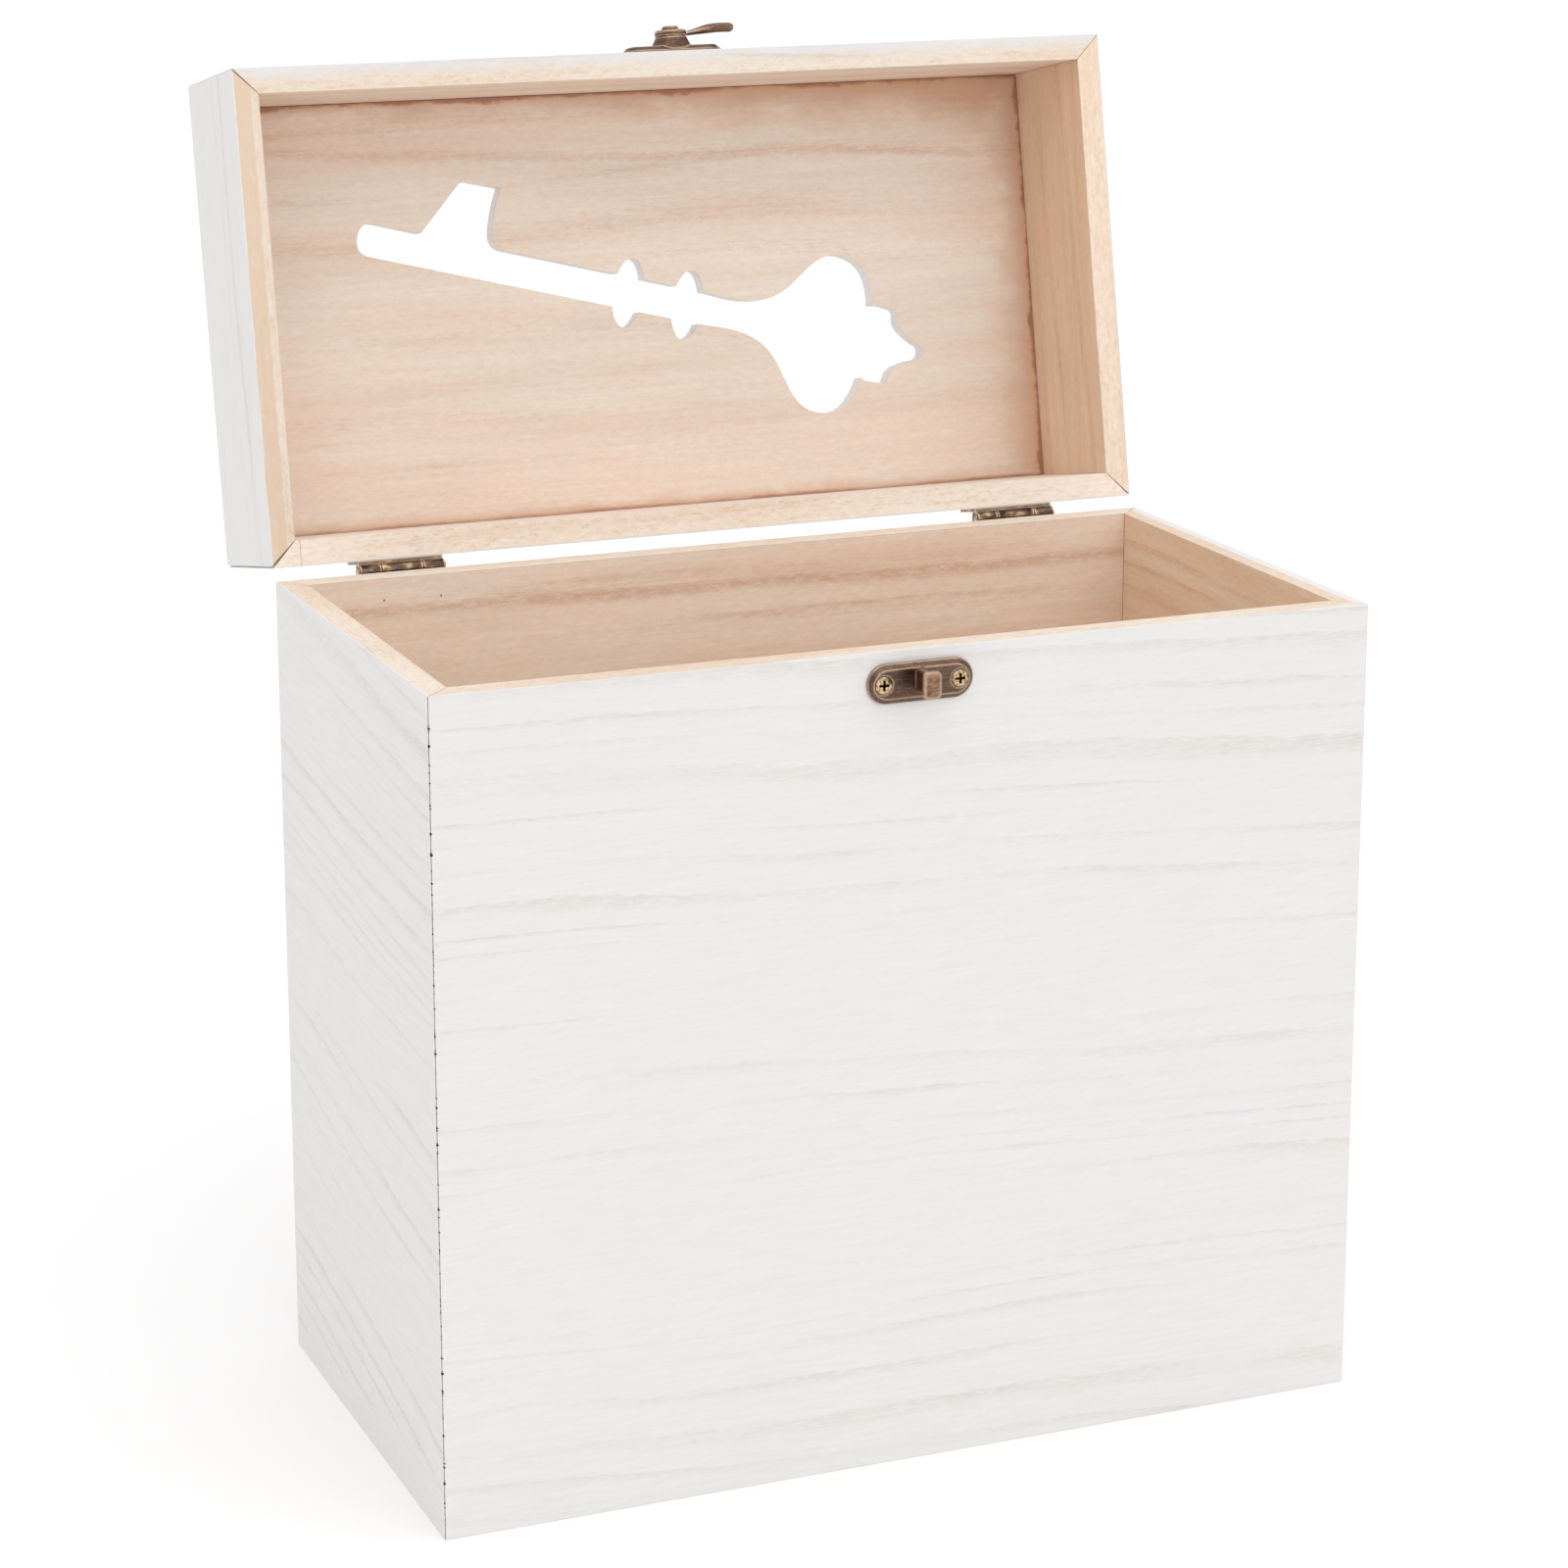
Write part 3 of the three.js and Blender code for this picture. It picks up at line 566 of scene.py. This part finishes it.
def soften(node, width, segments=2, angle=30):
    """Rounds a piece's sharp edges and shades it smoothly."""
    for polygon in node.data.polygons:
        polygon.use_smooth = True
    weld = node.modifiers.new("weld", "WELD")
    weld.merge_threshold = 0.001 * MM
    flatten = node.modifiers.new("flatten", "DECIMATE")
    flatten.decimate_type = "DISSOLVE"
    flatten.angle_limit = math.radians(0.5)
    bevel = node.modifiers.new("bevel", "BEVEL")
    bevel.width = width
    bevel.segments = segments
    bevel.angle_limit = math.radians(angle)
    bevel.use_clamp_overlap = True
    node.modifiers.new("normals", "WEIGHTED_NORMAL").keep_sharp = False


def make_boards():
    for board in boards():
        node = NODES[board.node]
        dress(node, board_material(board))
        soften(node, BOARD_EDGE)


# ---------------------------------------------------------------- metals

BRONZE = (0.21, 0.145, 0.105)
BRONZE_DARK = (0.075, 0.048, 0.038)
BRONZE_RED = (0.115, 0.062, 0.042)
COPPER = (0.39, 0.245, 0.16)
COPPER_DARK = (0.20, 0.115, 0.075)
BRONZE_WORN_AND_HIGHLIT = (0.74, 0.52, 0.36)
GOLDEN_AND_HIGHLIT = (0.52, 0.37, 0.20)
PATINA_AND_SHADE = (0.016, 0.009, 0.008)
BRASS = (0.77, 0.62, 0.38)
BRASS_DULL = (0.30, 0.185, 0.085)
BRASS_DIRT_AND_SHADE = (0.03, 0.015, 0.008)

# How round the edges are on pressed and turned pieces, on the hook, and on the worn stud.
PRESSED_EDGE, HOOK_EDGE, STUD_EDGE = 0.12 * MM, 0.2 * MM, 0.45 * MM


def worn_and_highlit_edges(g, radius):
    """1 on convex edges, where handling has polished the metal; the light copper put there is also a
    painted highlight.
    """
    rounded = g.node("ShaderNodeBevel", {"Radius": radius}, samples=6).outputs["Normal"]
    plain = g.node("ShaderNodeNewGeometry").outputs["Normal"]
    turn = g.math("SUBTRACT", 1.0, g.vector("DOT_PRODUCT", rounded, plain))
    return g.step(turn, 0.003, 0.06)


def recess_shade_and_dirt(g, distance, low, high):
    """1 in corners and hollows: painted shade where less light reaches, and the dirt and dark patina
    that stay there.
    """
    made = g.node("ShaderNodeAmbientOcclusion", {"Distance": distance}, samples=12)
    return g.step(made.outputs["AO"], high, low)


def bronze_material(name, seed, bright, plain=BRONZE, deep=BRONZE_DARK, patches=0.0, radius=0.9):
    """Aged bronze plating: brown, brushed along X, worn to copper on its edges, where the light
    copper also stands in as a painted highlight, and with patina and painted shade in its hollows.

    bright is how far the worn copper and its painted highlight show, radius how many millimetres from
    an edge it reaches, and patches how far whole stretches along X turn golden or black: uneven
    plating, which on the hinges also paints the knuckles' lit and shaded sides as painted highlight
    and painted shade.
    """
    g = Graph(name)
    point = g.millimetres()
    brushed, blotch, grime = [g.pattern(kind, point, seed) for kind in ("brushed", "blotch", "grime")]
    color = g.mix(g.step(brushed, 0.34, 0.68), deep, plain)
    color = g.mix(g.times(g.step(blotch, 0.42, 0.66), 0.8), color, BRONZE_RED)
    if patches:
        # Golden and near-black stretches: uneven plating, and on the hinges painted highlight and
        # painted shade on the knuckles.
        plating = g.pattern("plating", point, seed)
        color = g.mix(g.times(g.step(plating, 0.5, 0.62), patches), color, GOLDEN_AND_HIGHLIT)
        color = g.mix(g.times(g.step(plating, 0.46, 0.36), patches), color, PATINA_AND_SHADE)
    wear_and_highlight = g.times(worn_and_highlit_edges(g, radius * MM), g.step(grime, 0.26, 0.46))
    wear_and_highlight = g.weighted(wear_and_highlight, (g.step(grime, 0.56, 0.72), 0.25))
    # Light copper on convex edges: worn metal, and a painted highlight.
    color = g.mix(g.math("MULTIPLY", wear_and_highlight, bright, clamp=True), color, BRONZE_WORN_AND_HIGHLIT)
    # Near black in corners and hollows: painted shade, with patina and dirt.
    color = g.mix(recess_shade_and_dirt(g, 0.9 * MM, 0.35, 0.8), color, PATINA_AND_SHADE)
    rough = g.weighted(0.17, (brushed, 0.3))
    normal = g.bump(g.weighted(brushed, (grime, 0.6)), 0.03 * MM)
    return g.finish(color, rough, normal, metallic=1.0)


def brass_material(name, seed):
    """Tarnished brass, with black dirt and painted shade in its recess and round its rim."""
    g = Graph(name)
    tarnish = g.pattern("tarnish", g.millimetres(), seed)
    color = g.mix(g.step(tarnish, 0.4, 0.6), BRASS, BRASS_DULL)
    # Near black in the screw's cross and in the gap round its head: painted shade, with dirt.
    color = g.mix(recess_shade_and_dirt(g, 1.5 * MM, 0.52, 0.93), color, BRASS_DIRT_AND_SHADE)
    rough = g.weighted(0.12, (tarnish, 0.25))
    return g.finish(color, rough, g.bump(tarnish, 0.04 * MM), metallic=1.0)


def make_fittings():
    plates = bronze_material("aged_bronze", 1.0, 0.9)
    # The hinges' golden and near-black stretches are partly painted highlight and painted shade on
    # the knuckles.
    hinges = bronze_material("hinge_bronze", 4.0, 1.0, patches=0.9)
    # The stud's edges get more light copper: polish from handling, and a painted highlight.
    handled_and_highlit = bronze_material("handled_and_highlit_copper", 6.0, 1.2, COPPER, COPPER_DARK, radius=1.3)
    hook = bronze_material("hook_bronze", 8.0, 1.25, COPPER_DARK, BRONZE_DARK, radius=1.1)
    brass = brass_material("tarnished_brass", 2.0)
    looks = [
        (("catch_plate", "latch_plate"), plates, PRESSED_EDGE),
        (("catch_screw", "latch_screw"), brass, PRESSED_EDGE),
        (("hinge",), hinges, PRESSED_EDGE),
        (("catch_stud",), handled_and_highlit, STUD_EDGE),
        (("latch_hook", "latch_rivet"), hook, HOOK_EDGE),
    ]
    for starts, material, rounding in looks:
        for name, node in NODES.items():
            if name.startswith(starts):
                dress(node, material)
                soften(node, rounding, segments=3, angle=35)


# ---------------------------------------------------------------- studio

CAMERA_TARGET = Vector((-0.0036, 0.0131, 0.1956))
CAMERA_DISTANCE = 1.1
CAMERA_AZIMUTH = -22.37
CAMERA_ELEVATION = 13.87
CAMERA_LENS = 95.4
CAMERA_SHIFT = -0.08

FLOOR_HALF = 12.0
FLOOR_WHITE = (0.8, 0.8, 0.8, 1)
FLOOR_GLOW = 0.14
SKY_WHITE = (1.0, 0.985, 0.985, 1)
SKY_STRENGTH = 0.84

# Each sun's azimuth, elevation and width in degrees, its strength and its colour.
SUNS = {
    "front_softbox": (22, 24, 60, 0.15, (1, 1, 0.97)),
    "overhead_softbox": (30, 77, 80, 1.0, (1, 1, 1)),
    "glint": (-35, 48, 9, 0.10, (1, 1, 1)),
}


def towards(azimuth, elevation):
    """The direction from the object to a viewer; azimuth 0 is straight in front."""
    a, e = math.radians(azimuth), math.radians(elevation)
    return Vector((math.sin(a) * math.cos(e), -math.cos(a) * math.cos(e), math.sin(e)))


def make_camera():
    data = bpy.data.cameras.new("camera")
    data.lens = CAMERA_LENS
    data.sensor_width = 36
    data.shift_y = CAMERA_SHIFT
    camera = bpy.data.objects.new("camera", data)
    bpy.context.scene.collection.objects.link(camera)
    back = towards(CAMERA_AZIMUTH, CAMERA_ELEVATION)
    camera.location = CAMERA_TARGET + back * CAMERA_DISTANCE
    camera.rotation_euler = (-back).to_track_quat("-Z", "Y").to_euler()
    bpy.context.scene.camera = camera


def make_floor():
    half = FLOOR_HALF
    mesh = bpy.data.meshes.new("floor")
    corners = [(-half, -half, 0), (half, -half, 0), (half, half, 0), (-half, half, 0)]
    mesh.from_pydata(corners, [], [(0, 1, 2, 3)])
    floor = bpy.data.objects.new("floor", mesh)
    bpy.context.scene.collection.objects.link(floor)
    g = Graph("floor_white")
    g.shader.inputs["Emission Color"].default_value = (1, 1, 1, 1)
    g.shader.inputs["Emission Strength"].default_value = FLOOR_GLOW
    dress(floor, g.finish(FLOOR_WHITE, 0.9))


def make_sun(name, azimuth, elevation, width, strength, tint):
    data = bpy.data.lights.new(name, "SUN")
    data.angle = math.radians(width)
    data.energy = strength
    data.color = tint
    light = bpy.data.objects.new(name, data)
    bpy.context.scene.collection.objects.link(light)
    light.rotation_euler = (-towards(azimuth, elevation)).to_track_quat("-Z", "Y").to_euler()


def make_studio():
    world = bpy.data.worlds.new("studio")
    bpy.context.scene.world = world
    world.use_nodes = True
    background = world.node_tree.nodes["Background"]
    background.inputs["Color"].default_value = SKY_WHITE
    background.inputs["Strength"].default_value = SKY_STRENGTH
    for name, sun in SUNS.items():
        make_sun(name, *sun)
    bpy.context.scene.view_settings.view_transform = "Standard"


make_boards()
make_fittings()
make_camera()
make_floor()
make_studio()

bpy.context.view_layer.update()
